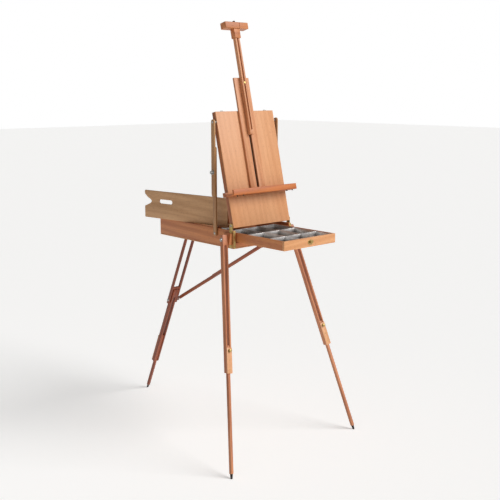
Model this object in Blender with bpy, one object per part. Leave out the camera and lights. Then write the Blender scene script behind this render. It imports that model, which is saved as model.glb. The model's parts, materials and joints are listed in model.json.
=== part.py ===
"""Folding sketch-box easel in oiled beech.

A shallow open box on three telescopic legs holds a pull-out paint drawer.  Its lid stands
behind the drawer on two pivots and two telescopic stays, and carries a sliding canvas tray
with a slotted plank, a mast in front of the plank and a head that clamps the canvas.
+X is the painter's right, +Y points away from the painter, +Z is up, in metres.  The origin
is on the floor, at the middle of the space that the standing easel takes up.
"""
import math

import bmesh
import bpy
from mathutils import Matrix, Vector

# ---- driving dimensions -------------------------------------------------------------
GAP = 0.0003                  # clearance between pieces that touch
FRONT_Y = -0.3084             # front face of the box
BOX_HALF = 0.174              # half the box's width
BOX_DEPTH = 0.530
BOX_LOW, BOX_TOP = 0.917, 0.997
WALL = 0.012
INNER = BOX_HALF - WALL       # half the clear width inside the box
STRAP = 0.0018                # corner strap, with the clearance behind it

DRAWER_HALF = 0.1555
DRAWER_LOW, DRAWER_TOP = 0.946, 0.986
DRAWER_OUT = 0.2918           # how far the drawer stands out of the box
DRAWER_BACK = 0.198           # its rear end, inside the box
DRAWER_WALL = 0.009

LID_TILT = math.radians(13.4)
LID_FOOT = (0.0017, 1.009)    # lower front edge of the lid: depth behind the box front, height
LID_HALF, LID_LENGTH, LID_THICK = 0.1713, 0.509, 0.024
LID_PIVOT = (0.0162, 1.0179)  # pivot in the corner straps

TRAY_LOW, TRAY_TOP = 0.136, 0.162
TRAY_HALF, TRAY_REACH = 0.190, 0.058
PLANK_HALF, PLANK_THICK, PLANK_TOP = 0.043, 0.010, 0.655
SLOT_HALF = 0.007
MAST_HALF, MAST_THICK = 0.0125, 0.017
MAST_LOW, MAST_TOP = 0.400, 0.892
HEAD_HALF, HEAD_LOW, HEAD_TOP = 0.0665, 0.869, 0.897

STAY_FOOT = (0.1156, 0.974)   # lower stay pivot on the side of the box
STAY_PIN = (0.0060, 0.4645)   # upper stay pivot: depth behind the lid's face, along the lid

LEG_TOP = (0.2024, 0.0328, 0.979)     # upper end of the right front leg
LEG_FOOT = (0.3886, -0.2249, 0.0)
LEG_PIVOT_DROP = 0.022        # leg bolt below the upper end
RAIL_LOW = 0.4375             # lower end of a leg's rails, along the leg from the floor
LOWER_TOP = 0.554             # upper end of the sliding lower leg
RAIL_IN, RAIL_OUT, RAIL_DEEP = 0.007, 0.015, 0.009
TIP_LENGTH = 0.020

HINGE = (0.516, 0.896)        # rear leg hinge under the back of the box
REAR_FOOT = 0.9154            # rear foot, behind the box front
BOLT_DROP = 0.390             # fork bolt, along the rear leg from the hinge
FORK_IN, FORK_OUT, FORK_DEEP = 0.019, 0.029, 0.0065
REAR_TOP, REAR_LOW, REAR_LOWER_TOP = 0.3275, 0.792, 0.621
BRACE_PIVOT = (0.0385, 0.905)
BRACE_HALF = 0.008
BRACE_X = (0.0313, 0.0385, 0.0388, 0.0463)

PALETTE_YAW = math.radians(8.5)
PALETTE_REAR = (-0.206, 0.602)
PALETTE_LENGTH, PALETTE_HEIGHT, PALETTE_THICK = 0.520, 0.130, 0.005
ROUND_SIDES = 20

for leftover in list(bpy.data.objects):
    bpy.data.objects.remove(leftover, do_unlink=True)


# ---- materials ----------------------------------------------------------------------
def material(name, colour, roughness, metallic=0.0):
    made = bpy.data.materials.new(name)
    made.use_nodes = True
    shader = made.node_tree.nodes["Principled BSDF"]
    shader.inputs["Base Color"].default_value = (*colour, 1.0)
    shader.inputs["Roughness"].default_value = roughness
    shader.inputs["Metallic"].default_value = metallic
    return made


BEECH = material("oiled_beech", (0.56, 0.27, 0.12), 0.45)
PLY = material("beech_ply", (0.66, 0.36, 0.18), 0.50)
PALE = material("palette_ply", (0.50, 0.32, 0.18), 0.55)
STEEL = material("zinc_steel", (0.42, 0.42, 0.43), 0.35, 1.0)
TIN = material("tin_liner", (0.62, 0.65, 0.70), 0.32, 1.0)
BRASS = material("brass", (0.58, 0.43, 0.18), 0.35, 1.0)
DARK = material("dark_steel", (0.06, 0.05, 0.05), 0.45, 0.9)


# ---- building helpers ---------------------------------------------------------------
def add_object(name, shape, look, parent=None, smooth=False, edge=0.0):
    """Turns a bmesh into a named object with outward faces and, if asked, eased edges."""
    bmesh.ops.recalc_face_normals(shape, faces=shape.faces)
    if edge:
        bmesh.ops.bevel(shape, geom=shape.edges[:], offset=edge, segments=1, affect="EDGES")
    mesh = bpy.data.meshes.new(name)
    shape.to_mesh(mesh)
    shape.free()
    mesh.materials.append(look)
    if smooth:
        mesh.shade_smooth()
        mesh.set_sharp_from_angle(angle=math.radians(35))
    made = bpy.data.objects.new(name, mesh)
    bpy.context.scene.collection.objects.link(made)
    made.parent = parent
    return made


def board(name, look, low, high, parent=None, edge=0.0008):
    """A board from its low corner to its high corner."""
    middle = [(a + b) / 2 for a, b in zip(low, high)]
    size = [abs(b - a) for a, b in zip(low, high)]
    shape = bmesh.new()
    place = Matrix.Translation(middle) @ Matrix.Diagonal((*size, 1.0))
    bmesh.ops.create_cube(shape, size=1.0, matrix=place)
    return add_object(name, shape, look, parent, edge=edge)


def fill_plate(shape, loops, start, end, plane):
    """Adds a plate: closed loops (outline, then holes) in one plane, drawn out from start to end."""
    order = {"xy": (0, 1, 2), "xz": (0, 2, 1), "yz": (1, 2, 0)}[plane]
    edges = []
    for loop in loops:
        ring = []
        for across, along in loop:
            spot = [0.0, 0.0, 0.0]
            spot[order[0]], spot[order[1]], spot[order[2]] = across, along, start
            ring.append(shape.verts.new(spot))
        edges += [shape.edges.new((ring[i - 1], ring[i])) for i in range(len(ring))]
    filled = bmesh.ops.triangle_fill(shape, use_beauty=True, use_dissolve=False, edges=edges)
    faces = [item for item in filled["geom"] if isinstance(item, bmesh.types.BMFace)]
    drawn = bmesh.ops.extrude_face_region(shape, geom=faces, use_keep_orig=True)
    moved = [item for item in drawn["geom"] if isinstance(item, bmesh.types.BMVert)]
    step = [0.0, 0.0, 0.0]
    step[order[2]] = end - start
    bmesh.ops.translate(shape, vec=step, verts=moved)


def plate(name, look, loops, start, end, plane, parent=None):
    shape = bmesh.new()
    fill_plate(shape, loops, start, end, plane)
    return add_object(name, shape, look, parent)


def turned(name, look, centre, axis, profile, parent=None):
    """A turned piece: (distance along the axis, radius) rings from one end to the other."""
    order = {"x": (1, 2, 0), "y": (2, 0, 1), "z": (0, 1, 2)}[axis]
    shape = bmesh.new()
    rings = []
    for along, radius in profile:
        ring = []
        for across, up in circle(0, 0, radius):
            spot = list(centre)
            spot[order[0]] += across
            spot[order[1]] += up
            spot[order[2]] += along
            ring.append(shape.verts.new(spot))
        rings.append(ring)
    for low, high in zip(rings, rings[1:]):
        for i in range(ROUND_SIDES):
            shape.faces.new((low[i - 1], low[i], high[i], high[i - 1]))
    shape.faces.new(rings[0])
    shape.faces.new(rings[-1])
    return add_object(name, shape, look, parent, smooth=True)


def mirrored(side, profile):
    """The same turned profile, drawn out towards +X or towards -X."""
    return [(side * along, radius) for along, radius in profile]


def rectangle(left, low, right, high):
    return [(left, low), (right, low), (right, high), (left, high)]


def circle(across, along, radius, sides=ROUND_SIDES):
    turns = [2 * math.pi * i / sides for i in range(sides)]
    return [(across + radius * math.cos(t), along + radius * math.sin(t)) for t in turns]


def rounded(left, low, right, high, radius, steps=4):
    """A rectangle's outline with round corners."""
    outline = []
    corners = [(right - radius, low + radius, -90), (right - radius, high - radius, 0),
               (left + radius, high - radius, 90), (left + radius, low + radius, 180)]
    for across, along, first in corners:
        for i in range(steps + 1):
            turn = math.radians(first + 90 * i / steps)
            outline.append((across + radius * math.cos(turn), along + radius * math.sin(turn)))
    return outline


def empty(name, place, turn=Matrix.Identity(3), parent=None):
    made = bpy.data.objects.new(name, None)
    bpy.context.scene.collection.objects.link(made)
    made.parent = parent
    made.location = place
    made.rotation_euler = turn.to_euler()
    return made


def lean(angle):
    return Matrix.Rotation(angle, 3, "X")


# ---- the box ------------------------------------------------------------------------
box = empty("box_frame", (0, FRONT_Y, 0))
FLOOR_TOP = BOX_LOW + 0.005


def make_box():
    board("box_bottom", PLY, (-BOX_HALF, 0, BOX_LOW), (BOX_HALF, BOX_DEPTH, FLOOR_TOP), box)
    low = FLOOR_TOP + GAP
    for side, name in ((-1, "box_side_left"), (1, "box_side_right")):
        board(name, BEECH, (side * INNER, 0, low), (side * BOX_HALF, BOX_DEPTH, BOX_TOP), box)
    inside = INNER - GAP
    back_y = BOX_DEPTH - WALL
    board("box_back", BEECH, (-inside, back_y, low), (inside, BOX_DEPTH, BOX_TOP), box)
    board("box_front_rail", BEECH, (-inside, 0, low), (inside, WALL, DRAWER_LOW - 0.0025), box)
    board("drawer_shelf", PLY, (-inside, WALL + GAP, DRAWER_LOW - 0.0083),
          (inside, back_y - GAP, DRAWER_LOW - GAP), box)
    board("rear_hinge_block", BEECH, (-FORK_IN + GAP, HINGE[0] - 0.014, HINGE[1] - 0.012),
          (FORK_IN - GAP, BOX_DEPTH, BOX_LOW - GAP), box)
    board("brace_bracket", BEECH, (0.0165, BRACE_PIVOT[0] - 0.012, BRACE_PIVOT[1] - 0.0095),
          (BRACE_X[0] - GAP, BRACE_PIVOT[0] + 0.012, BOX_LOW - GAP), box)
    for side, name in ((-1, "corner_strap_left"), (1, "corner_strap_right")):
        strap = rounded(0.006, BOX_LOW + 0.003, 0.0264, LID_PIVOT[1] + 0.0095, 0.0095)
        strap[:5] = [(0.0264, BOX_LOW + 0.003)]
        strap[-5:] = [(0.006, BOX_LOW + 0.003)]
        near, far = side * (BOX_HALF + GAP), side * (BOX_HALF + STRAP)
        plate(name, BRASS, [strap], near, far, "yz", box)


def make_palette():
    """A ply board on its long edge, set askew on the rim, with a hooked end and a finger slot."""
    turn = Matrix.Rotation(PALETTE_YAW, 3, "Z")
    rest = empty("palette_frame", (*PALETTE_REAR, BOX_TOP + 0.0005), turn, box)
    high = PALETTE_HEIGHT
    outline = [(-PALETTE_LENGTH, 0), (-0.002, 0), (0, 0.002), (0, high * 0.40),
               (-0.004, high * 0.43)]
    notch = [(-0.004 - 0.042 * math.sin(math.pi * i / 8), high * (0.43 + 0.36 * i / 8))
             for i in range(1, 8)]
    outline += notch + [(-0.002, high * 0.86), (0, high * 0.95), (-0.004, high),
                        (-PALETTE_LENGTH + 0.006, high), (-PALETTE_LENGTH, high - 0.006)]
    slot = rounded(-0.182, 0.073, -0.098, 0.092, 0.009)
    plate("palette", PALE, [outline, slot], -PALETTE_THICK, 0, "yz", rest)


# ---- the drawer ---------------------------------------------------------------------
def interval_grid(shape, edges_x, edges_y, floor, low, high):
    """Adds a tray: odd intervals of both edge lists are pockets down to the floor height."""
    corners = {}

    def corner(i, j, height):
        if (i, j, height) not in corners:
            corners[i, j, height] = shape.verts.new((edges_x[i], edges_y[j], height))
        return corners[i, j, height]

    def face(*spots):
        shape.faces.new([corner(*spot) for spot in spots])

    last_x, last_y = len(edges_x) - 1, len(edges_y) - 1
    for i in range(last_x):
        for j in range(last_y):
            ring = [(i, j), (i + 1, j), (i + 1, j + 1), (i, j + 1)]
            pocket = i % 2 and j % 2
            face(*[(*spot, low) for spot in ring])
            face(*[(*spot, floor if pocket else high) for spot in ring])
            for k, (a, b) in enumerate(zip(ring, ring[1:] + ring[:1])):
                if pocket:
                    face((*a, floor), (*b, floor), (*b, high), (*a, high))
                outer = (k == 0 and j == 0, k == 1 and i == last_x - 1,
                         k == 2 and j == last_y - 1, k == 3 and i == 0)
                if any(outer):
                    face((*a, low), (*b, low), (*b, high), (*a, high))


def make_drawer():
    slide = empty("drawer_frame", (0, -DRAWER_OUT, 0), parent=box)
    length = DRAWER_OUT + DRAWER_BACK
    low, high = DRAWER_LOW, DRAWER_TOP
    board("drawer_front", BEECH, (-DRAWER_HALF, 0, low), (DRAWER_HALF, 0.012, high), slide)
    inside = DRAWER_HALF - DRAWER_WALL
    for side, name in ((-1, "drawer_side_left"), (1, "drawer_side_right")):
        board(name, BEECH, (side * inside, 0.0123, low), (side * DRAWER_HALF, length, high), slide)
    clear = inside - GAP
    board("drawer_back", BEECH, (-clear, length - 0.009, low), (clear, length, high), slide)
    board("drawer_bottom", PLY, (-clear, 0.0123, low + 0.0010),
          (clear, length - 0.0093, low + 0.0050), slide)
    half, wall = clear - 0.0010, 0.0022
    near, far = 0.0130, 0.3700
    edges_x = [-half, -half + wall, -0.048, -0.048 + wall, 0.048 - wall, 0.048, half - wall, half]
    edges_y = [near, near + wall, 0.100, 0.100 + wall, 0.232, 0.232 + wall, far - wall, far]
    shape = bmesh.new()
    interval_grid(shape, edges_x, edges_y, low + 0.0070, low + 0.0056, high - 0.0015)
    add_object("drawer_liner", shape, TIN, slide)
    catch = [(-GAP, 0.0110), (-0.0018, 0.0100), (-0.0022, 0.0045), (-0.0060, 0.0040),
             (-0.0075, 0.0060), (-0.0100, 0.0062), (-0.0112, 0.0045)]
    turned("drawer_catch", BRASS, (0, 0, low + 0.021), "y", catch, slide)


# ---- the lid and what it carries ------------------------------------------------------
def make_lid(lid):
    """Front ply face on a rim of four battens; along the lid is local z, its rear local +y."""
    board("lid_board", PLY, (-LID_HALF, 0, 0), (LID_HALF, 0.005, LID_LENGTH), lid)
    near, far = 0.005 + GAP, LID_THICK
    for side, name in ((-1, "lid_rim_left"), (1, "lid_rim_right")):
        board(name, BEECH, (side * (LID_HALF - 0.014), near, 0),
              (side * LID_HALF, far, LID_LENGTH), lid)
    inside = LID_HALF - 0.014 - GAP
    board("lid_rim_top", BEECH, (-inside, near, LID_LENGTH - 0.014), (inside, far, LID_LENGTH), lid)
    board("lid_rim_bottom", BEECH, (-inside, near, 0), (inside, far, 0.014), lid)
    pin = [(LID_HALF + GAP, 0.0048), (0.1732, 0.0048), (0.1732, 0.0030), (0.1840, 0.0030)]
    for side, name in ((-1, "stay_pin_left"), (1, "stay_pin_right")):
        turned(name, STEEL, (0, *STAY_PIN), "x", mirrored(side, pin), lid)


def make_carrier(lid):
    """The canvas tray with the slotted plank that stands on it."""
    shelf_top = TRAY_LOW + 0.010
    lip_back = -TRAY_REACH + 0.0097
    profile = [(-TRAY_REACH, TRAY_LOW), (-GAP, TRAY_LOW), (-GAP, shelf_top),
               (lip_back, shelf_top), (lip_back, TRAY_TOP), (-TRAY_REACH, TRAY_TOP)]
    plate("canvas_tray", BEECH, [profile], -TRAY_HALF, TRAY_HALF, "yz", lid)
    for side, name in ((-1, "tray_cheek_left"), (1, "tray_cheek_right")):
        board(name, BEECH, (side * (LID_HALF + 0.0004), 0, TRAY_LOW),
              (side * TRAY_HALF, 0.017, TRAY_LOW + 0.020), lid)
    outline = rectangle(-PLANK_HALF, shelf_top + GAP, PLANK_HALF, PLANK_TOP)
    slot = rounded(-SLOT_HALF, 0.165, SLOT_HALF, 0.600, 0.0065)
    plate("plank", BEECH, [outline, slot], -PLANK_THICK - GAP, -GAP, "xz", lid)
    face = -PLANK_THICK - 2 * GAP
    front = face - MAST_THICK
    bolt = [(face, 0.0024), (front - GAP, 0.0024), (front - GAP, 0.0060), (front - 0.0020, 0.0050)]
    turned("mast_bolt", BRASS, (0, 0, 0.630), "y", bolt, lid)


def make_mast(lid):
    face = -PLANK_THICK - 2 * GAP
    front = face - MAST_THICK
    outline = rectangle(-MAST_HALF, MAST_LOW, MAST_HALF, MAST_TOP)
    slot = rounded(-0.004, MAST_LOW + 0.020, 0.004, MAST_TOP - 0.040, 0.0038, 3)
    plate("mast_bar", BEECH, [outline, slot], front, face, "xz", lid)
    middle = (face + front) / 2
    knob = [(GAP, 0.0035), (0.0070, 0.0035), (0.0080, 0.0058), (0.0125, 0.0062), (0.0142, 0.0045)]
    turned("mast_top_knob", BRASS, (0, middle, MAST_TOP), "z", knob, lid)
    return middle


def make_head(lid, middle):
    hole = 0.0004
    deep = MAST_THICK / 2 + hole
    bore = rectangle(-MAST_HALF - hole, middle - deep, MAST_HALF + hole, middle + deep)
    block = rectangle(-HEAD_HALF, middle - 0.018, HEAD_HALF, middle + 0.018)
    plate("head_block", BEECH, [block, bore], HEAD_LOW, HEAD_TOP, "xy", lid)
    collar = rectangle(-0.0170, middle - 0.0130, 0.0170, middle + 0.0130)
    plate("head_collar", BEECH, [collar, bore], 0.828, HEAD_LOW - GAP, "xy", lid)


# ---- stays --------------------------------------------------------------------------
def make_stays():
    pin = Vector((0, *LID_FOOT)) + lean(-LID_TILT) @ Vector((0, *STAY_PIN))
    run = Vector((pin.y - STAY_FOOT[0], pin.z - STAY_FOOT[1]))
    angle = math.atan2(-run.x, run.y)
    length = run.length
    for side, name in ((-1, "left"), (1, "right")):
        foot = empty(f"stay_{name}_frame", (0, *STAY_FOOT), lean(angle), box)
        lower = rounded(-0.010, -0.012, 0.010, 0.380, 0.0095)
        plate(f"stay_{name}_lower", BEECH, [lower], side * 0.1765, side * 0.1840, "yz", foot)
        upper = rounded(-0.011, 0.162, 0.011, length + 0.012, 0.0105)
        plate(f"stay_{name}_upper", BEECH, [upper], side * 0.1843, side * 0.1915, "yz", foot)
        knob = [(0.1918, 0.0080), (0.1928, 0.0080), (0.1930, 0.0045), (0.1968, 0.0045),
                (0.1975, 0.0085), (0.2040, 0.0085), (0.2048, 0.0070)]
        turned(f"stay_{name}_knob", STEEL, (0, 0, 0.269), "x", mirrored(side, knob), foot)


# ---- legs ---------------------------------------------------------------------------
def leg_frame(name, foot, top):
    """An empty at the foot: local z runs up the leg, local x is the fold axis across it."""
    up = (Vector(top) - Vector(foot)).normalized()
    across = Vector((up.z, 0, -up.x)).normalized()
    turn = Matrix((across, up.cross(across), up)).transposed()
    return empty(name, foot, turn, box)


def leg_tip(name, frame, half):
    """A steel tip from the end of the lower leg to a level foot face on the floor."""
    turn = frame.rotation_euler.to_matrix()
    down = turn.transposed()
    shape = bmesh.new()
    sides = 16
    top, low = [], []
    for i in range(sides):
        t = 2 * math.pi * (i + 0.5) / sides
        top.append(shape.verts.new((half * math.cos(t), half * math.sin(t), TIP_LENGTH)))
        level = Vector((0.0045 * math.cos(t), 0.0045 * math.sin(t), 0.0))
        low.append(shape.verts.new(down @ level))
    for i in range(sides):
        j = (i + 1) % sides
        shape.faces.new((low[i], low[j], top[j]))
        shape.faces.new((low[i], top[j], top[i]))
    shape.faces.new(top)
    shape.faces.new(low)
    add_object(name, shape, DARK, frame, smooth=True)


def leg_upper(name, frame, low, high, deep):
    """Two parallel rails glued to a spacer at their upper ends, open below."""
    closed = high - 0.045
    outline = [(-RAIL_OUT, low), (-RAIL_IN, low), (-RAIL_IN, closed), (RAIL_IN, closed),
               (RAIL_IN, low), (RAIL_OUT, low), (RAIL_OUT, high - 0.003), (RAIL_OUT - 0.003, high),
               (-RAIL_OUT + 0.003, high), (-RAIL_OUT, high - 0.003)]
    plate(f"{name}_upper", BEECH, [outline], -deep, deep, "xz", frame)


def leg_lower(name, frame, top, deep, face):
    """The sliding lower leg, with its steel tip and its clamp knob on one face of the rails."""
    half = RAIL_IN - 0.0005
    board(f"{name}_lower", BEECH, (-half, -0.007, TIP_LENGTH + GAP), (half, 0.007, top), frame)
    leg_tip(f"{name}_tip", frame, 0.0064)
    knob = [(deep + along, radius) for along, radius in (
        (GAP, 0.0105), (0.0020, 0.0105), (0.0022, 0.0050), (0.0062, 0.0050), (0.0068, 0.0088),
        (0.0140, 0.0090), (0.0150, 0.0070))]
    turned(f"{name}_knob", STEEL, (0, 0, top - 0.022), "y", mirrored(face, knob), frame)


def make_front_legs():
    bolt_profile = [(GAP, 0.0085), (0.0016, 0.0085), (0.0018, 0.0050), (0.0070, 0.0045)]
    for side, name in ((-1, "leg_left"), (1, "leg_right")):
        foot = (side * LEG_FOOT[0], *LEG_FOOT[1:])
        top = (side * LEG_TOP[0], *LEG_TOP[1:])
        frame = leg_frame(f"{name}_frame", foot, top)
        length = (Vector(top) - Vector(foot)).length
        bolt = length - LEG_PIVOT_DROP
        leg_upper(name, frame, RAIL_LOW, length, RAIL_DEEP)
        leg_lower(name, frame, LOWER_TOP, RAIL_DEEP, -1)
        turned(f"{name}_bolt", STEEL, (side * RAIL_OUT, 0, bolt), "x",
               mirrored(side, bolt_profile), frame)
        turn = frame.rotation_euler.to_matrix()
        face = Vector(foot) + turn @ Vector((-side * (RAIL_OUT + GAP), 0, bolt))
        slope = turn.col[0].z / turn.col[0].x
        wall = side * (BOX_HALF + STRAP + GAP)
        low, high = 0.936, 0.986
        outline = [(wall, low), (wall, high), (face.x - (high - face.z) * slope, high),
                   (face.x - (low - face.z) * slope, low)]
        plate(f"{name}_block", BEECH, [outline], 0.0070, 0.0500, "xz", box)


def make_rear_leg():
    reach, height = REAR_FOOT - HINGE[0], HINGE[1]
    frame = leg_frame("rear_leg_frame", (0, REAR_FOOT, 0), (0, *HINGE))
    length = math.hypot(reach, height)
    top, low = length + 0.012, length - 0.410
    bar_high, bar_low = length - 0.3150, length - 0.3235   # stop just above the folding leg
    outline = [(-FORK_OUT, low), (-FORK_IN, low), (-FORK_IN, bar_low), (FORK_IN, bar_low),
               (FORK_IN, low), (FORK_OUT, low), (FORK_OUT, top), (FORK_IN, top),
               (FORK_IN, bar_high), (-FORK_IN, bar_high), (-FORK_IN, top), (-FORK_OUT, top)]
    plate("rear_fork", BEECH, [outline], -FORK_DEEP, FORK_DEEP, "xz", frame)
    bolt = [(FORK_OUT + GAP, 0.0075), (0.0308, 0.0075), (0.0310, 0.0030), (0.0495, 0.0030)]
    turned("fork_bolt", STEEL, (0, 0, length - BOLT_DROP), "x", bolt, frame)
    leg_upper("rear_leg", frame, length - REAR_LOW, length - REAR_TOP, 0.010)
    leg_lower("rear_leg", frame, length - REAR_LOWER_TOP, 0.010, 1)


def make_brace():
    """Two flat bars that slide on each other; a notch in the rear bar hooks over the fork bolt."""
    leg = Vector((REAR_FOOT - HINGE[0], -HINGE[1])).normalized()
    run = Vector(HINGE) + BOLT_DROP * leg - Vector(BRACE_PIVOT)
    frame = empty("brace_frame", (0, *BRACE_PIVOT), lean(math.atan2(run.y, run.x)), box)
    high = BRACE_HALF
    front = rounded(-0.012, -high, 0.410, high, 0.0075)
    plate("brace_front", BEECH, [front], BRACE_X[0], BRACE_X[1], "yz", frame)
    end, notch = run.length, 0.006
    rear = [(0.350, -high), (end - notch, -high), (end - notch, 0.0035), (end + notch, 0.0035),
            (end + notch, -high), (end + 0.016, -high), (end + 0.016, high), (0.350, high)]
    plate("brace_rear", BEECH, [rear], BRACE_X[2], BRACE_X[3], "yz", frame)


make_box()
make_palette()
make_drawer()
lid_frame = empty("lid_frame", (0, *LID_FOOT), lean(-LID_TILT), box)
make_lid(lid_frame)
make_carrier(lid_frame)
mast_middle = make_mast(lid_frame)
make_head(lid_frame, mast_middle)
make_stays()
make_front_legs()
make_rear_leg()
make_brace()
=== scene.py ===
# %% [markdown]
# A folding sketch-box easel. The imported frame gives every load-carrying piece of wood and metal its
# place; this file gives those pieces eased edges and real finishes, and adds the small hardware:
# screws, bands, catches, washers and knobs. Everything is in metres, with +Z up and +Y away from the
# painter. The frame comes first, because every place below is read from it.

# %% Load the frame
import json
import math

import bpy
from mathutils import Matrix, Vector

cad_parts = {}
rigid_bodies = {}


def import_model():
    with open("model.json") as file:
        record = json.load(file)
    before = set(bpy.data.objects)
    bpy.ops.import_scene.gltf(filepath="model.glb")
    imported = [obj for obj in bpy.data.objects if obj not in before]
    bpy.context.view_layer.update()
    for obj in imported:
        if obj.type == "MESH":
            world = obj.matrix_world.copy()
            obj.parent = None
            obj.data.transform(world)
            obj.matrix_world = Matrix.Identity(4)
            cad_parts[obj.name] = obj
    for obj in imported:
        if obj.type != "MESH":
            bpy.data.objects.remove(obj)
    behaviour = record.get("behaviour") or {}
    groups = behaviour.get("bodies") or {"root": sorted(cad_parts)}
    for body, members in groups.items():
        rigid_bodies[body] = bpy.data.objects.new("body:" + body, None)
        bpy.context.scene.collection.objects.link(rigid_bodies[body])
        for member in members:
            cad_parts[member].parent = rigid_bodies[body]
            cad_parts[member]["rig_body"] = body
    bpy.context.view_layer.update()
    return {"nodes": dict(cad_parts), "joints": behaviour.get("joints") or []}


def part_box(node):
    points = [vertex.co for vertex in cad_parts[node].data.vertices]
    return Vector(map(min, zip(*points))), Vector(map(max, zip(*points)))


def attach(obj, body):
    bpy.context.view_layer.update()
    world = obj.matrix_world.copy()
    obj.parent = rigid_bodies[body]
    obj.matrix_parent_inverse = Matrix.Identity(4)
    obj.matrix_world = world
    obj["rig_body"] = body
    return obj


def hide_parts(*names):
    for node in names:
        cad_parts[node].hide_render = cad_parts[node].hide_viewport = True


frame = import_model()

NODES = frame["nodes"]
AXIS = {joint["name"]: Vector(joint["axis"]) for joint in frame["joints"]}
PIVOT = {joint["name"]: Vector(joint["pos_m"]) for joint in frame["joints"] if "pos_m" in joint}
MM = 0.001
X, Y, Z = Vector((1, 0, 0)), Vector((0, 1, 0)), Vector((0, 0, 1))
SIDES = ((-1, "left"), (1, "right"))      # the sign along X and the word in a name

# %% [markdown]
# The stage. A studio picture of furniture is taken from standing height with a longish lens, against
# white. A very large pale floor under a white sky gives that plain ground, and the floor gives off a
# little light of its own, so that it stays nearly white under a moderate lamp. The sky has three
# strengths, chosen by the kind of ray: white where the camera sees it, weaker in reflections, and very
# weak as a light, because a full white sky would wash the wood out. A Sun lamp lights the whole floor
# evenly, and an angle of 40 degrees makes its shadows as soft as a big softbox would. It stands in
# front on the painter's right, so the lid is the brightest face and the left sides of the bars fall
# into warm shade. One weak panel on the left keeps that shade open.

# %% Camera
CAMERA_PLACE = Vector((-2.533, -2.990, 1.595))
CAMERA_TURN = 42.47
CAMERA_DIP = 10.8
LENS = 60.36

bpy.ops.object.camera_add(location=CAMERA_PLACE,
                          rotation=(math.radians(90 - CAMERA_DIP), 0, math.radians(-CAMERA_TURN)))
camera = bpy.context.object
camera.data.lens = LENS
bpy.context.scene.camera = camera
print("camera", tuple(round(c, 2) for c in camera.location), "lens", LENS)


# %% Colours: one function turns a hex code into the linear values that shaders take
def linear(hex_code):
    parts = [int(hex_code[i:i + 2], 16) / 255 for i in (1, 3, 5)]
    return (*[c / 12.92 if c <= 0.04045 else ((c + 0.055) / 1.055) ** 2.4 for c in parts], 1.0)


# %% One function adds a node with its settings, values and links
def add_node(tree, kind, settings=None, values=None, links=None):
    node = tree.nodes.new(kind)
    for key, value in (settings or {}).items():
        setattr(node, key, value)
    for key, value in (values or {}).items():
        node.inputs[key].default_value = value
    for key, socket in (links or {}).items():
        tree.links.new(socket, node.inputs[key])
    return node


def new_finish(name):
    """An empty material, its tree and its surface shader."""
    finish = bpy.data.materials.new(name)
    finish.use_nodes = True
    return finish, finish.node_tree, finish.node_tree.nodes["Principled BSDF"]


# %% Floor and sky
FLOOR_GLOW = 0.32
SKY_AS_LIGHT, SKY_IN_REFLECTIONS = 0.07, 0.6

bpy.ops.mesh.primitive_plane_add(size=60)
floor = bpy.context.object
floor.name = "studio_floor"
paper, _, paper_shader = new_finish("studio_paper")
paper_shader.inputs["Base Color"].default_value = linear("#FAF9F7")
paper_shader.inputs["Roughness"].default_value = 0.95
paper_shader.inputs["Emission Color"].default_value = linear("#FFFFFF")
paper_shader.inputs["Emission Strength"].default_value = FLOOR_GLOW
floor.data.materials.append(paper)

sky = bpy.data.worlds.new("studio_sky")
sky.use_nodes = True
backdrop = sky.node_tree.nodes["Background"]
backdrop.inputs["Color"].default_value = linear("#FFFFFF")
seen = add_node(sky.node_tree, "ShaderNodeLightPath")
glossy = add_node(sky.node_tree, "ShaderNodeMapRange", None,
                  {"To Min": SKY_AS_LIGHT, "To Max": SKY_IN_REFLECTIONS},
                  {"Value": seen.outputs["Is Glossy Ray"]})
level = add_node(sky.node_tree, "ShaderNodeMath", {"operation": "MAXIMUM"}, None,
                 {0: glossy.outputs["Result"], 1: seen.outputs["Is Camera Ray"]})
sky.node_tree.links.new(level.outputs["Value"], backdrop.inputs["Strength"])
bpy.context.scene.world = sky
bpy.context.scene.view_settings.view_transform = "Standard"
print("floor and sky ready")


# %% Lamps, both aimed at the middle of the easel
SUN_PLACE, PANEL_PLACE = Vector((1.9, -3.6, 4.0)), Vector((-3.6, -1.6, 2.0))
aim = Vector((0, 0, 1.0))
bpy.ops.object.light_add(type="SUN", location=SUN_PLACE)
sun = bpy.context.object
sun.data.energy = 2.75
sun.data.angle = math.radians(40)
sun.rotation_euler = (aim - SUN_PLACE).to_track_quat("-Z", "Y").to_euler()
bpy.ops.object.light_add(type="AREA", location=PANEL_PLACE)
panel = bpy.context.object
panel.data.size = 2.6
panel.data.energy = 12
panel.rotation_euler = (aim - PANEL_PLACE).to_track_quat("-Z", "Y").to_euler()
print("lamps: 2")

# %% [markdown]
# Oiled beech. The whole easel is beech, a pale pink-brown wood that linseed oil turns orange. What
# the eye reads is broad growth bands 10 to 20 mm wide that run along each bar, fine fibres across
# them, and the short dark flecks that mark beech. The pattern sits on Object coordinates. A first
# Mapping node turns them until the bar's length is the pattern's Z, and a second one squeezes Z, so
# the figure is long and thin like real grain. Each direction in the easel gets its own turn.

# %% Grain sizes, in metres
BAND_WIDTH = 15 * MM      # growth bands on a plain-sawn face
FIBRE_WIDTH = 3.5 * MM    # real fibres are under 1 mm, drawn coarser to show at this distance
FLECK_WIDTH = 2.0 * MM    # ray flecks, real size
BAND_WAVE = 0.314         # a Wave texture of scale 1 repeats every 0.314 m


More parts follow.
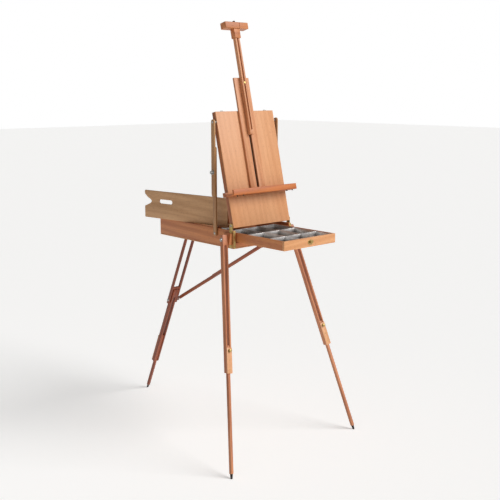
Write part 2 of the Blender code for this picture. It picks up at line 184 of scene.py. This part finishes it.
# %% Wood
def wood(name, pale, deep, run, gloss=0.44, figure=0.35):
    """Oiled wood whose grain runs along the vector run."""
    finish, tree, shader = new_finish(name)
    place = add_node(tree, "ShaderNodeTexCoord")
    turn = Vector(run).rotation_difference(Z).to_euler()
    turned = add_node(tree, "ShaderNodeMapping", values={"Rotation": turn},
                      links={"Vector": place.outputs["Object"]})
    along = turned.outputs["Vector"]
    ring_space = add_node(tree, "ShaderNodeMapping", values={"Scale": (1, 1, 0.06)},
                          links={"Vector": along}).outputs["Vector"]
    fibre_space = add_node(tree, "ShaderNodeMapping", values={"Scale": (1, 1, 0.03)},
                           links={"Vector": along}).outputs["Vector"]
    fleck_space = add_node(tree, "ShaderNodeMapping", values={"Scale": (1, 1, 0.16)},
                           links={"Vector": along}).outputs["Vector"]
    bands = add_node(tree, "ShaderNodeTexWave",
                     {"wave_type": "BANDS", "bands_direction": "DIAGONAL"},
                     {"Scale": BAND_WAVE / BAND_WIDTH, "Distortion": 9.0, "Detail": 3.0,
                      "Detail Scale": 0.8}, {"Vector": ring_space})
    fibres = add_node(tree, "ShaderNodeTexNoise", None,
                      {"Scale": 1 / FIBRE_WIDTH, "Detail": 4.0, "Roughness": 0.6},
                      {"Vector": fibre_space})
    tone = add_node(tree, "ShaderNodeTexNoise", None, {"Scale": 7.0, "Detail": 1.0},
                    {"Vector": ring_space})
    figured = add_node(tree, "ShaderNodeMix", None, {"Factor": 1 - figure},
                       {"A": bands.outputs["Fac"], "B": fibres.outputs["Fac"]})
    shaded = add_node(tree, "ShaderNodeMix", None, {"Factor": 0.45},
                      {"A": figured.outputs["Result"], "B": tone.outputs["Fac"]})
    ramp = add_node(tree, "ShaderNodeValToRGB", links={"Fac": shaded.outputs["Result"]})
    ramp.color_ramp.elements[0].position, ramp.color_ramp.elements[1].position = 0.28, 0.68
    ramp.color_ramp.elements[0].color = linear(deep)
    ramp.color_ramp.elements[1].color = linear(pale)
    flecks = add_node(tree, "ShaderNodeTexNoise", None,
                      {"Scale": 1 / FLECK_WIDTH, "Detail": 1.0}, {"Vector": fleck_space})
    speck = add_node(tree, "ShaderNodeMapRange", None,
                     {"From Min": 0.60, "From Max": 0.72, "To Min": 0.0, "To Max": 0.35},
                     {"Value": flecks.outputs["Fac"]})
    flecked = add_node(tree, "ShaderNodeMix", {"data_type": "RGBA", "blend_type": "MULTIPLY"},
                       None, {"Factor": speck.outputs["Result"], 6: ramp.outputs["Color"]})
    flecked.inputs[7].default_value = linear("#8A4A28")
    sheen = add_node(tree, "ShaderNodeMapRange", None,
                     {"To Min": gloss - 0.08, "To Max": gloss + 0.10},
                     {"Value": fibres.outputs["Fac"]})
    relief = add_node(tree, "ShaderNodeBump", None, {"Strength": 0.35, "Distance": 0.25 * MM},
                      {"Height": fibres.outputs["Fac"]})
    tree.links.new(flecked.outputs[2], shader.inputs["Base Color"])
    tree.links.new(sheen.outputs["Result"], shader.inputs["Roughness"])
    tree.links.new(relief.outputs["Normal"], shader.inputs["Normal"])
    return finish


# %% The directions that wood runs in, read from the joints, and the finish for each
LID_UP = AXIS["tray_slide"]
RUNS = {"across": X, "deep": Y, "upright": Z, "lid": LID_UP,
        "leg_left": AXIS["leg_left_extend"], "leg_right": AXIS["leg_right_extend"],
        "rear": AXIS["rear_leg_extend"], "brace": -AXIS["brace_retract"],
        "stay": AXIS["stay_left_extend"], "tray": X}
PLAIN_TONE = ("#D48A54", "#A65A2E")
# The rear leg and the brace stand in the shade under the box, and their darker tones are painted shade.
TONES = {"leg_left": ("#D08A60", "#954F2C"), "leg_right": ("#D08A60", "#954F2C"),
         "rear": ("#A05232", "#6A2E1A"), "brace": ("#AC5C34", "#76361C"),
         "stay": ("#BC8C5C", "#8A5A30"), "lid": ("#C47E4C", "#904E28"),
         "tray": ("#CC7638", "#A25020")}
BEECH = {key: wood(f"oiled_beech_{key}", *TONES.get(key, PLAIN_TONE), run)
         for key, run in RUNS.items()}
FACE_BEECH = wood("oiled_beech_face", "#DEA272", "#C88450", LID_UP, 0.42, 0.2)
FRONT_BEECH = wood("oiled_beech_front", "#E8AC78", "#CE8C58", X, 0.42, 0.3)
PLANK_BEECH = wood("oiled_beech_plank", "#DA9A6C", "#B87248", LID_UP, 0.44, 0.3)
PLY_BEECH = wood("beech_ply", "#D9A274", "#BE8254", Y, 0.5)
PLATE_BEECH = {name: wood(f"pale_beech_{name}", "#E2A97C", "#C6885A", AXIS[f"{name}_extend"], 0.42)
               for name in ("leg_left", "leg_right", "rear_leg")}
print("wood finishes:", len(BEECH) + len(PLATE_BEECH) + 4)

# %% [markdown]
# The palette is thin plywood that was only sealed, so it is duller and greyer than the oiled bars.
# It stands a little askew, so its grain follows its own top edge.

# %% Palette finish
palette_low, palette_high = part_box("palette")
palette_span = palette_high - palette_low
PALETTE_RUN = Vector((-palette_span.x, palette_span.y, 0)).normalized()
PALETTE_PLY = wood("sealed_ply", "#D8AA7C", "#B8885C", PALETTE_RUN, 0.55, 0.25)
print("palette runs", tuple(round(c, 2) for c in PALETTE_RUN))


# %% [markdown]
# Metals. Brass plate that has aged in the air is a dull olive gold with darker patches; zinc-plated
# steel is a plain grey with a soft bloom; the liner is bright tinned sheet that fingers have smudged;
# the leg tips are blackened steel, worn paler by the ground. All four are one idea: a metal whose
# colour and roughness wander with a cloudy noise, a few millimetres to a few centimetres across.

# %% Metal
def metal(name, clean, dull, cloud, smooth, rough):
    """A metal that varies between a clean and a dull colour in clouds of the given size."""
    finish, tree, shader = new_finish(name)
    shader.inputs["Metallic"].default_value = 1.0
    place = add_node(tree, "ShaderNodeTexCoord")
    clouds = add_node(tree, "ShaderNodeTexNoise", None,
                      {"Scale": 1 / cloud, "Detail": 5.0, "Roughness": 0.62},
                      {"Vector": place.outputs["Object"]})
    ramp = add_node(tree, "ShaderNodeValToRGB", links={"Fac": clouds.outputs["Fac"]})
    ramp.color_ramp.elements[0].position, ramp.color_ramp.elements[1].position = 0.35, 0.65
    ramp.color_ramp.elements[0].color = linear(dull)
    ramp.color_ramp.elements[1].color = linear(clean)
    spread = add_node(tree, "ShaderNodeMapRange", None, {"To Min": rough, "To Max": smooth},
                      {"Value": clouds.outputs["Fac"]})
    fine = add_node(tree, "ShaderNodeTexNoise", None, {"Scale": 1 / (1.2 * MM), "Detail": 2.0},
                    {"Vector": place.outputs["Object"]})
    relief = add_node(tree, "ShaderNodeBump", None, {"Strength": 0.15, "Distance": 0.05 * MM},
                      {"Height": fine.outputs["Fac"]})
    tree.links.new(ramp.outputs["Color"], shader.inputs["Base Color"])
    tree.links.new(spread.outputs["Result"], shader.inputs["Roughness"])
    tree.links.new(relief.outputs["Normal"], shader.inputs["Normal"])
    return finish


# The liner's cells are painted darker towards their floors, as painted shade; the rims keep the metal's
# own colour
def painted_cell_shade(finish, dull, low, high):
    """Paints shade into a metal: darker from one height down to another, as in the shaded floor of a
    cell.
    """
    tree = finish.node_tree
    shader = tree.nodes["Principled BSDF"]
    place = add_node(tree, "ShaderNodeTexCoord")
    height = add_node(tree, "ShaderNodeSeparateXYZ", links={"Vector": place.outputs["Object"]})
    share = add_node(tree, "ShaderNodeMapRange", None, {"From Min": low, "From Max": high},
                     {"Value": height.outputs["Z"]})
    bright = shader.inputs["Base Color"].links[0].from_socket
    mixed = add_node(tree, "ShaderNodeMix", {"data_type": "RGBA"}, None,
                     {"Factor": share.outputs["Result"], 7: bright})
    mixed.inputs[6].default_value = linear(dull)
    tree.links.new(mixed.outputs[2], shader.inputs["Base Color"])


AGED_BRASS = metal("aged_brass", "#CDB174", "#95804E", 9 * MM, 0.28, 0.5)
ZINC = metal("zinc_steel", "#B4B3B0", "#8B8985", 7 * MM, 0.25, 0.45)
TINPLATE = metal("tinplate", "#DAD8D6", "#B2ACA8", 45 * MM, 0.18, 0.42)
BLACKENED = metal("blackened_steel", "#4A4340", "#241F1E", 5 * MM, 0.4, 0.6)
liner_low, liner_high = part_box("drawer_liner")
# Painted shade: the liner darkens towards the floors of its cells.
painted_cell_shade(TINPLATE, "#4C4540", liner_low.z + 1 * MM, liner_high.z - 3 * MM)
print("metal finishes: 4")

# %% [markdown]
# The frame's pieces are right in shape but hard at the edges. A maker breaks every sharp corner with
# sandpaper, and the thin line of light along each edge is what makes wood look solid. So each
# piece is copied, its triangles are welded and merged back into flat faces, and a Bevel modifier
# rounds the edges before it is applied. The copy then stands for the frame's node.


# %% Ease the edges of a copy of a frame piece
def only(piece):
    """Selects one object alone and makes it the active one."""
    bpy.ops.object.select_all(action="DESELECT")
    piece.select_set(True)
    bpy.context.view_layer.objects.active = piece


def round_edges(piece, width, steps):
    only(piece)
    bevel = piece.modifiers.new("eased_edges", "BEVEL")
    bevel.width = width
    bevel.segments = steps
    bevel.limit_method = "ANGLE"
    bevel.angle_limit = math.radians(28)
    bpy.ops.object.modifier_apply(modifier=bevel.name)
    bpy.ops.object.shade_smooth_by_angle(angle=math.radians(38))


def eased(node, look, width=1.0 * MM, steps=3):
    piece = bpy.data.objects.new(f"{node}_eased", NODES[node].data.copy())
    bpy.context.scene.collection.objects.link(piece)
    only(piece)
    if piece.data.has_custom_normals:
        bpy.ops.mesh.customdata_custom_splitnormals_clear()
    bpy.ops.object.mode_set(mode="EDIT")
    bpy.ops.mesh.select_all(action="SELECT")
    bpy.ops.mesh.remove_doubles(threshold=0.01 * MM)
    bpy.ops.mesh.dissolve_limited(angle_limit=math.radians(1))
    bpy.ops.object.mode_set(mode="OBJECT")
    round_edges(piece, width, steps)
    piece.data.materials.clear()
    piece.data.materials.append(look)
    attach(piece, NODES[node]["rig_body"])
    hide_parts(node)
    return piece


# %% The box and the drawer: boards with small rounds on the corners already broken in the frame
SANDED = 0.3 * MM
BOARDS = {"box_side_left": BEECH["deep"], "box_side_right": BEECH["deep"],
          "box_back": BEECH["across"], "box_front_rail": BEECH["across"],
          "box_bottom": PLY_BEECH, "drawer_shelf": PLY_BEECH, "drawer_bottom": PLY_BEECH,
          "drawer_front": FRONT_BEECH, "drawer_back": BEECH["across"],
          "drawer_side_left": BEECH["deep"], "drawer_side_right": BEECH["deep"],
          "rear_hinge_block": BEECH["deep"], "brace_bracket": BEECH["deep"],
          "lid_board": FACE_BEECH, "lid_rim_left": BEECH["lid"], "lid_rim_right": BEECH["lid"],
          "lid_rim_top": BEECH["across"], "lid_rim_bottom": BEECH["across"],
          "tray_cheek_left": BEECH["lid"], "tray_cheek_right": BEECH["lid"],
          "leg_left_lower": BEECH["leg_left"], "leg_right_lower": BEECH["leg_right"],
          "rear_leg_lower": BEECH["rear"]}
for node, look in BOARDS.items():
    eased(node, look, SANDED, 2)
print("boards eased:", len(BOARDS))

# %% The shaped pieces: wider rounds
SHAPED = {"canvas_tray": (BEECH["tray"], 2.0), "plank": (PLANK_BEECH, 0.8),
          "mast_bar": (PLANK_BEECH, 0.8), "head_block": (BEECH["across"], 2.2),
          "head_collar": (BEECH["across"], 1.2), "palette": (PALETTE_PLY, 1.2),
          "stay_left_lower": (BEECH["stay"], 1.0), "stay_left_upper": (BEECH["stay"], 1.0),
          "stay_right_lower": (BEECH["stay"], 1.0), "stay_right_upper": (BEECH["stay"], 1.0),
          "leg_left_upper": (BEECH["leg_left"], 1.2), "leg_right_upper": (BEECH["leg_right"], 1.2),
          "rear_leg_upper": (BEECH["rear"], 1.2), "rear_fork": (BEECH["rear"], 1.2),
          "brace_front": (BEECH["brace"], 0.9), "brace_rear": (BEECH["brace"], 0.9),
          "leg_left_block": (BEECH["upright"], 0.8), "leg_right_block": (BEECH["upright"], 0.8),
          "corner_strap_left": (AGED_BRASS, 0.3), "corner_strap_right": (AGED_BRASS, 0.3),
          "drawer_liner": (TINPLATE, 0.5)}
for node, (look, width) in SHAPED.items():
    eased(node, look, width * MM)
print("shaped pieces eased:", len(SHAPED))

# %% Small metal pieces that the frame already has right keep their node and take a finish
KEPT = {"leg_left_tip": BLACKENED, "leg_right_tip": BLACKENED, "rear_leg_tip": BLACKENED,
        "stay_pin_left": ZINC, "stay_pin_right": ZINC, "fork_bolt": ZINC,
        "mast_top_knob": BLACKENED, "mast_bolt": AGED_BRASS}
for node, look in KEPT.items():
    NODES[node].data.materials.clear()
    NODES[node].data.materials.append(look)
print("pieces kept:", len(KEPT))

# %% [markdown]
# Turned hardware. Knobs, screws and washers are all made on a lathe, so one helper does the same: it
# starts from a filled circle and, in edit mode, extrudes it along the axis and resizes it, ring by
# ring. The finished mesh is then turned and moved into place, so that its object stays at the origin.


# %% A turned piece from a list of (height, radius) rings
def turned(name, rings, look, sides=32):
    height, radius = rings[0]
    bpy.ops.object.select_all(action="DESELECT")
    bpy.ops.mesh.primitive_circle_add(vertices=sides, radius=radius, fill_type="NGON",
                                      location=(0, 0, height))
    piece = bpy.context.object
    piece.name = name
    bpy.ops.object.mode_set(mode="EDIT")
    bpy.ops.mesh.select_all(action="SELECT")
    for next_height, next_radius in rings[1:]:
        bpy.ops.mesh.extrude_region_move(
            TRANSFORM_OT_translate={"value": (0, 0, next_height - height)})
        grow = next_radius / radius
        bpy.ops.transform.resize(value=(grow, grow, 1), center_override=(0, 0, next_height))
        height, radius = next_height, next_radius
    bpy.ops.mesh.select_all(action="SELECT")
    bpy.ops.mesh.normals_make_consistent(inside=False)
    bpy.ops.object.mode_set(mode="OBJECT")
    piece.data.materials.append(look)
    bpy.ops.object.shade_smooth_by_angle(angle=math.radians(35))
    return piece


def settle(piece, place, aim, body):
    """Moves the mesh so that its own +Z points along aim from place, and lets it ride."""
    turn = Z.rotation_difference(Vector(aim)).to_matrix().to_4x4()
    piece.data.transform(Matrix.Translation(place) @ turn @ piece.matrix_basis)
    piece.matrix_basis = Matrix.Identity(4)
    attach(piece, body)
    return piece


# %% Clamp knobs: a washer, a neck and a fluted grip, the same on the legs and the stays
FLUTES = 12


def clamp_knob(name, base, aim, body, node, size, look):
    rings = [(0.0, 10.5), (0.9, 10.5), (1.4, 9.9), (1.6, 5.0), (5.6, 4.6), (6.2, 7.6), (6.8, 8.8),
             (8.0, 9.2), (12.6, 9.2), (13.8, 8.6), (14.6, 6.6), (14.9, 3.0)]
    piece = turned(name, [(h * size * MM, r * size * MM) for h, r in rings], look, 4 * FLUTES)
    grip = 8.4 * size * MM
    for corner in piece.data.vertices:
        reach = math.hypot(corner.co.x, corner.co.y)
        if reach > grip and corner.co.z > 6 * size * MM:
            wave = math.cos(FLUTES * math.atan2(corner.co.y, corner.co.x))
            corner.co.xy *= 1 - 0.05 * (1 - wave) / 2
    settle(piece, base, aim, body)
    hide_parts(node)
    return piece


PLATE_THICK, PLATE_GAP = 3.2 * MM, 0.4 * MM
# From each leg's centre line to the face that its clamp plate lies on
RAIL_DEEP = {"leg_left": 9 * MM, "leg_right": 9 * MM, "rear_leg": 10 * MM}
for name, deep in RAIL_DEEP.items():
    aim = AXIS[f"{name}_knob_turn"]
    base = PIVOT[f"{name}_knob_turn"] + aim * (deep + PLATE_GAP + PLATE_THICK)
    clamp_knob(f"{name}_clamp_knob", base, aim, f"{name}_knob", f"{name}_knob", 0.72, AGED_BRASS)
for side in ("left", "right"):
    low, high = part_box(f"stay_{side}_knob")
    aim = -X if side == "left" else X
    middle = (low + high) / 2
    base = Vector((low.x if side == "right" else high.x, middle.y, middle.z))
    clamp_knob(f"stay_{side}_clamp_knob", base, aim, f"stay_{side}_knob", f"stay_{side}_knob", 0.86, ZINC)
print("clamp knobs: 5")


# %% Screw heads: a low dome with a driver slot cut by a Boolean
def screw(name, place, aim, body, radius, look=AGED_BRASS, turn=0.4):
    rise = radius * 0.42
    dome = [(-0.2 * MM, radius), (rise * 0.45, radius), (rise * 0.8, radius * 0.8),
            (rise, radius * 0.42)]
    piece = turned(name, dome, look, 24)
    bpy.ops.object.select_all(action="DESELECT")
    bpy.ops.mesh.primitive_cube_add(size=1, location=(0, 0, rise), rotation=(0, 0, turn),
                                    scale=(radius * 3, radius * 0.26, rise * 0.9))
    cutter = bpy.context.object
    only(piece)
    cut = piece.modifiers.new("slot", "BOOLEAN")
    cut.object = cutter
    cut.operation = "DIFFERENCE"
    bpy.ops.object.modifier_apply(modifier=cut.name)
    bpy.data.objects.remove(cutter)
    return settle(piece, place, aim, body)


# %% Screws in the corner straps, the lid's pivots and both ends of the stays
LID_SIDE = 0.1718         # half a millimetre outside the lid's side

for side, label in SIDES:
    low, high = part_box(f"corner_strap_{label}")
    face = low.x if side < 0 else high.x
    middle = (low.y + high.y) / 2
    for number, height in enumerate((low.z + 0.009, high.z - 0.034)):
        screw(f"strap_screw_{label}_{number + 1}", (face, middle, height), side * X, "box", 3.0 * MM)
    screw(f"lid_pivot_screw_{label}", (face, *PIVOT["lid_tilt"].yz), side * X, "box", 5.2 * MM, ZINC)
    washer = turned(f"lid_pivot_washer_{label}", [(0, 4.6 * MM), (2.2 * MM, 4.6 * MM)], ZINC)
    settle(washer, (side * LID_SIDE, *PIVOT["lid_tilt"].yz), side * X, "box")
    stay_low, stay_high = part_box(f"stay_{label}_lower")
    outside = stay_low.x if side < 0 else stay_high.x
    screw(f"stay_foot_screw_{label}", (outside, *PIVOT[f"stay_{label}_swing"].yz), side * X,
          f"stay_{label}", 5.0 * MM, ZINC)
    upper_low, upper_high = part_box(f"stay_{label}_upper")
    outside = upper_low.x if side < 0 else upper_high.x
    pin_low, pin_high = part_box(f"stay_pin_{label}")
    pin = (pin_low + pin_high) / 2
    screw(f"stay_head_screw_{label}", (outside, pin.y, pin.z), side * X,
          f"stay_{label}_upper", 5.0 * MM, ZINC)
print("side screws placed")

# %% Leg bolts, the fork's hinge and bolt heads, and the brace's pivot
BOLT_SEAT = 15.3 * MM     # from a leg's centre to just outside its rails
FORK_FACE = 29 * MM       # from the middle to the outside of the fork

for side, label in SIDES:
    aim = side * AXIS[f"leg_{label}_fold"]
    start = PIVOT[f"leg_{label}_fold"] + aim * BOLT_SEAT
    rings = [(0, 8.6), (1.2, 8.6), (1.6, 8.0), (1.7, 5.4), (4.6, 5.2), (6.2, 4.0), (6.9, 2.2)]
    bolt = turned(f"leg_bolt_{label}", [(h * MM, r * MM) for h, r in rings], ZINC)
    settle(bolt, start, aim, "box")
    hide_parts(f"leg_{label}_bolt")
for side, label in SIDES:
    screw(f"fork_hinge_screw_{label}", PIVOT["rear_fork_fold"] + side * X * FORK_FACE, side * X,
          "fork", 4.5 * MM, ZINC)
screw("fork_bolt_head", PIVOT["rear_leg_fold"] - X * FORK_FACE, -X, "fork", 7.0 * MM, ZINC)
brace_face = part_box("brace_front")[1].x
screw("brace_pivot_screw", (brace_face, *PIVOT["brace_fold"].yz), X, "brace", 3.2 * MM, ZINC)
print("leg hardware placed")

# %% [markdown]
# Plates. Under each leg's clamp knob a beech plate bridges the two rails and squeezes them when the
# knob is tightened, and it slides with the lower leg. Brass leaves wrap the front corners of the box,
# and a small steel angle lies on its left rim. Each is a cube at its size with rounded edges.


# %% A small block or plate with rounded edges
def block(name, low, high, look, body, width=0.4 * MM, frame_turn=None):
    """A rounded block between two corners, optionally given in a turned frame."""
    low, high = Vector(low), Vector(high)
    bpy.ops.object.select_all(action="DESELECT")
    bpy.ops.mesh.primitive_cube_add(size=1, location=(low + high) / 2, scale=high - low)
    piece = bpy.context.object
    piece.name = name
    bpy.ops.object.transform_apply(location=True, rotation=True, scale=True)
    round_edges(piece, width, 2)
    piece.data.materials.append(look)
    if frame_turn:
        piece.data.transform(frame_turn)
    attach(piece, body)
    return piece


# %% Clamp plates on the legs, with two screws each
for name, deep in RAIL_DEEP.items():
    up = AXIS[f"{name}_extend"]
    out = AXIS[f"{name}_knob_turn"]
    across = out.cross(up).normalized()
    knob = PIVOT[f"{name}_knob_turn"]
    rails_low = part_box(f"{name}_upper")[0]
    reach = (knob.z - rails_low.z) / up.z - 3 * MM
    leg_turn = Matrix.Translation(knob) @ Matrix((across, out, up)).transposed().to_4x4()
    near = deep + PLATE_GAP
    block(f"{name}_clamp_plate", (-14.6 * MM, near, -reach),
          (14.6 * MM, near + PLATE_THICK, 13 * MM), PLATE_BEECH[name], f"{name}_lower",
          1.0 * MM, leg_turn)
    for number, drop in enumerate((0.42, 0.82)):
        spot = leg_turn @ Vector((0, near + PLATE_THICK, -reach * drop))
        screw(f"{name}_plate_screw_{number + 1}", spot, out, f"{name}_lower", 2.6 * MM)
print("clamp plates: 3")

# %% Front leaves of the corner straps, and the rim angle
for side, label in SIDES:
    strap_low, strap_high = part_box(f"corner_strap_{label}")
    wall_low, wall_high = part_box(f"box_side_{label}")
    edge = strap_low.x if side < 0 else strap_high.x
    inner = edge - side * 11 * MM
    block(f"strap_leaf_{label}", (min(edge, inner), wall_low.y - 1.6 * MM, strap_low.z),
          (max(edge, inner), wall_low.y - 0.1 * MM, wall_high.z - 1 * MM), AGED_BRASS, "box")
    for number, height in enumerate((strap_low.z + 0.012, wall_high.z - 0.014)):
        screw(f"leaf_screw_{label}_{number + 1}",
              (edge - side * 5.5 * MM, wall_low.y - 1.6 * MM, height), -Y, "box", 2.4 * MM)
rim_low, rim_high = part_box("box_side_left")
block("rim_angle", (rim_low.x + 2 * MM, rim_low.y + 45 * MM, rim_high.z + 0.3 * MM),
      (rim_low.x + 24 * MM, rim_low.y + 85 * MM, rim_high.z + 5 * MM), ZINC, "box", 0.8 * MM)
screw("rim_angle_screw", (rim_low.x + 12 * MM, rim_low.y + 65 * MM, rim_high.z + 5 * MM), Z, "box",
      3.4 * MM)
print("strap leaves: 2, rim angles: 1")

# %% The drawer's catch: an oval plate with a small turned pull
catch_low, catch_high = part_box("drawer_catch")
catch_middle = (catch_low + catch_high) / 2
plate = turned("drawer_catch_plate", [(0, 1.0), (1.2 * MM, 1.0)], AGED_BRASS, 48)
for corner in plate.data.vertices:
    corner.co.x *= 17 * MM
    corner.co.y *= 10.5 * MM
round_edges(plate, 0.4 * MM, 2)
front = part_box("drawer_front")[0].y
settle(plate, (catch_middle.x, front, catch_middle.z), -Y, "drawer")
pull_rings = [(1.0, 4.4), (4.0, 3.6), (5.4, 4.2), (6.4, 6.0), (8.8, 6.4), (10.2, 5.4), (10.8, 3.0)]
pull = turned("drawer_pull", [(h * MM, r * MM) for h, r in pull_rings], AGED_BRASS)
settle(pull, (catch_middle.x, front, catch_middle.z), -Y, "drawer")
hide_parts("drawer_catch")
for side in (-1, 1):
    screw(f"catch_screw_{'left' if side < 0 else 'right'}",
          (catch_middle.x + side * 12 * MM, front - 1.2 * MM, catch_middle.z), -Y, "drawer", 2.0 * MM)
print("drawer catch placed")

# %% [markdown]
# The hardware on the lid, tray and head is set out in the lid's frame: x across, y towards the back,
# z up along it. Two steel catches stand on the lid's top edge, the canvas tray has two dark fasteners
# under each end of its lip, a dark strip at the bottom of the plank's slot is painted shade that makes
# the slot read dark, and the head has the slit of its clamp.

# %% The lid's frame, from the lid's lean and the lower front edge of its board
LID_TURN = Matrix.Rotation(-math.asin(LID_UP.y), 4, "X")
LID_FACE = 5 * MM         # thickness of the lid's board
board_low, board_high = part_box("lid_board")
LID_FOOT = Vector((0, board_low.y, board_low.z + LID_FACE * LID_UP.y))
LID_PLACE = Matrix.Translation(LID_FOOT) @ LID_TURN
LID_LENGTH = (board_high.z - LID_FOOT.z) / LID_UP.z
print("lid leans", round(math.degrees(math.asin(LID_UP.y)), 1), "degrees")

# %% Catches on the lid's top edge
for side, label in SIDES:
    middle = side * 128 * MM
    block(f"lid_catch_{label}", (middle - 9 * MM, 5 * MM, LID_LENGTH + 0.3 * MM),
          (middle + 9 * MM, 16 * MM, LID_LENGTH + 1.5 * MM), ZINC, "lid", 0.4 * MM, LID_PLACE)
    hook = turned(f"lid_catch_hook_{label}", [(-6 * MM, 2.2 * MM), (6 * MM, 2.2 * MM)], ZINC, 20)
    settle(hook, LID_PLACE @ Vector((middle, 9 * MM, LID_LENGTH + 3.2 * MM)), X, "lid")
print("lid catches: 2, lid", round(LID_LENGTH, 3), "m long")

# %% Fasteners under the canvas tray
TRAY_UNDER = (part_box("canvas_tray")[0].z - LID_FOOT.z) / LID_UP.z
for side, label in SIDES:
    for number, across in enumerate((0.166, 0.132)):
        spot = LID_PLACE @ Vector((side * across, -51 * MM, TRAY_UNDER - 0.1 * MM))
        peg = turned(f"tray_fastener_{label}_{number + 1}",
                     [(0, 4.2 * MM), (1.0 * MM, 4.2 * MM), (1.2 * MM, 2.6 * MM), (4.6 * MM, 2.4 * MM),
                      (5.2 * MM, 1.6 * MM)], BLACKENED)
        settle(peg, spot, -LID_UP, "tray")
print("tray fasteners: 4")

# %% The dark strip behind the plank's slot, which is painted shade, and the slit of the head's clamp
SLIT_PLACE = (15 * MM, -37.1 * MM, 883 * MM)      # in the lid's frame, on one side of the mast
STRIP_LOW, STRIP_HIGH = 166 * MM, 599 * MM        # along the lid, just inside the slot's ends

head = bpy.data.objects["head_block_eased"]
bpy.ops.object.select_all(action="DESELECT")
bpy.ops.mesh.primitive_cube_add(size=1, scale=(2.2 * MM, 6 * MM, 60 * MM))
saw = bpy.context.object
saw.matrix_world = LID_PLACE @ Matrix.Translation(SLIT_PLACE) @ saw.matrix_basis
only(head)
cut = head.modifiers.new("slit", "BOOLEAN")
cut.object = saw
bpy.ops.object.modifier_apply(modifier=cut.name)
bpy.data.objects.remove(saw)
# Painted shade: a dark steel strip at the bottom of the plank's slot makes the slot read dark.
block("plank_slot_shade_strip", (-6.7 * MM, -2.2 * MM, STRIP_LOW), (6.7 * MM, -0.5 * MM, STRIP_HIGH),
      BLACKENED, "tray", 0.3 * MM, LID_PLACE)
print("head slit cut, slot strip placed")
